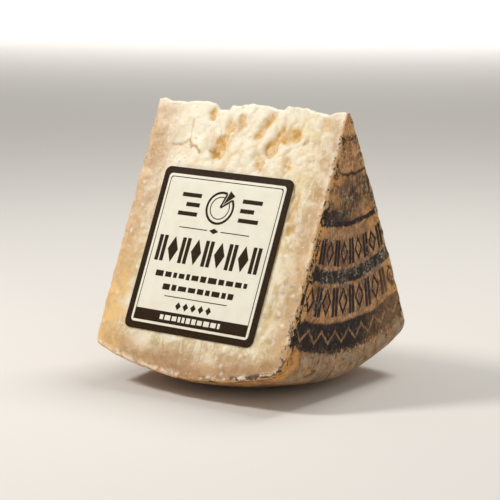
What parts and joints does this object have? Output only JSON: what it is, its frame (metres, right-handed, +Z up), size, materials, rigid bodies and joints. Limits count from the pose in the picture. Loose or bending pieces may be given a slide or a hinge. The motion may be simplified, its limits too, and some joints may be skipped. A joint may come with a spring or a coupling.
{
  "type": "pecorino cheese wedge",
  "caption": "Wedge of small aged sheep's-milk cheese standing on its curved rim, crest broken and crumbly, striped rind on one end, flat card label on the front cut face.",
  "frame": {"origin": "middle of the wedge's bounding box, at the height of the surface it stands on", "axes": "+X along the axis of the wheel the wedge was cut from, towards the printed rind; the labelled cut face looks towards -Y and leans back; +Z up, towards the crest"},
  "size_m": [0.072, 0.073, 0.086],
  "materials": {
    "cheese": "creamy, slightly waxy broken cheese paste, tan towards the rind",
    "label": "satin cream card with dark brown print"
  },
  "bodies": {
    "root": {"cheese": "cheese", "label": "label"}
  },
  "joints": []
}
